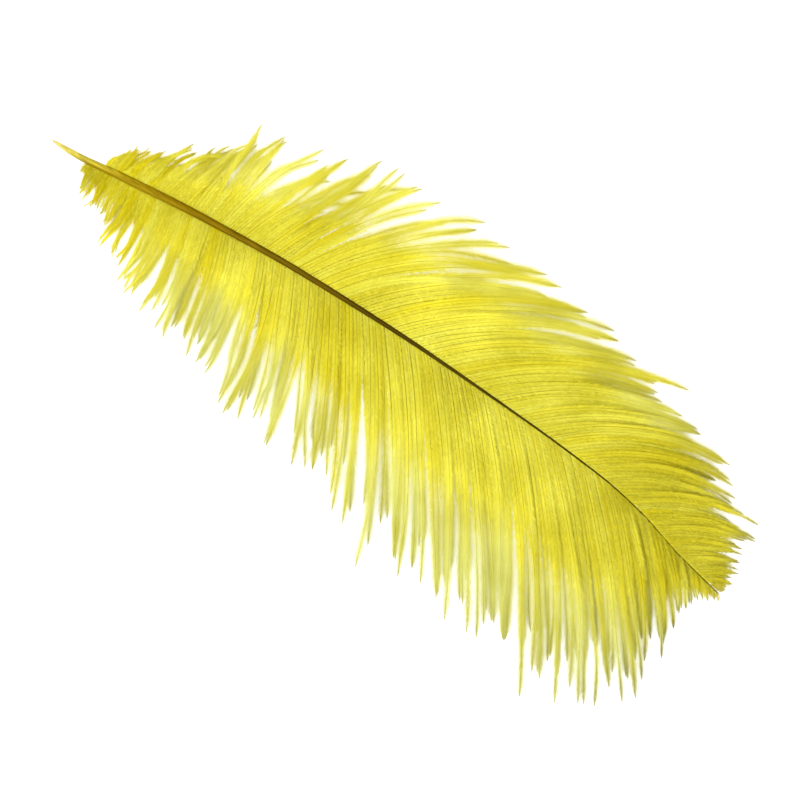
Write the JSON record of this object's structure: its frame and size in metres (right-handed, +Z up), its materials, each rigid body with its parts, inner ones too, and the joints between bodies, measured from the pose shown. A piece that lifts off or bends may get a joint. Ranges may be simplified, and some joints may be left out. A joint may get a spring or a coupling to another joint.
{
  "type": "ostrich feather",
  "caption": "Dyed ostrich plume with a tapered horn shaft, a bare quill end and two soft, uneven vanes of long barbs, lying on its underside.",
  "frame": {"origin": "on the surface the feather lies on, under the middle of its outer box", "axes": "+X along the straight line from the quill end to the tip, +Y towards the vane that is uppermost in the picture, +Z up from the surface"},
  "size_m": [0.2798, 0.1289, 0.0179],
  "materials": {
    "dyed_barbs": "soft dyed feather barbs, matt with a slight silky sheen",
    "shaft_horn": "dyed horn of the shaft, smooth, yellow at the quill end and brown further on"
  },
  "bodies": {
    "root": {"feather": "dyed_barbs"}
  },
  "joints": []
}
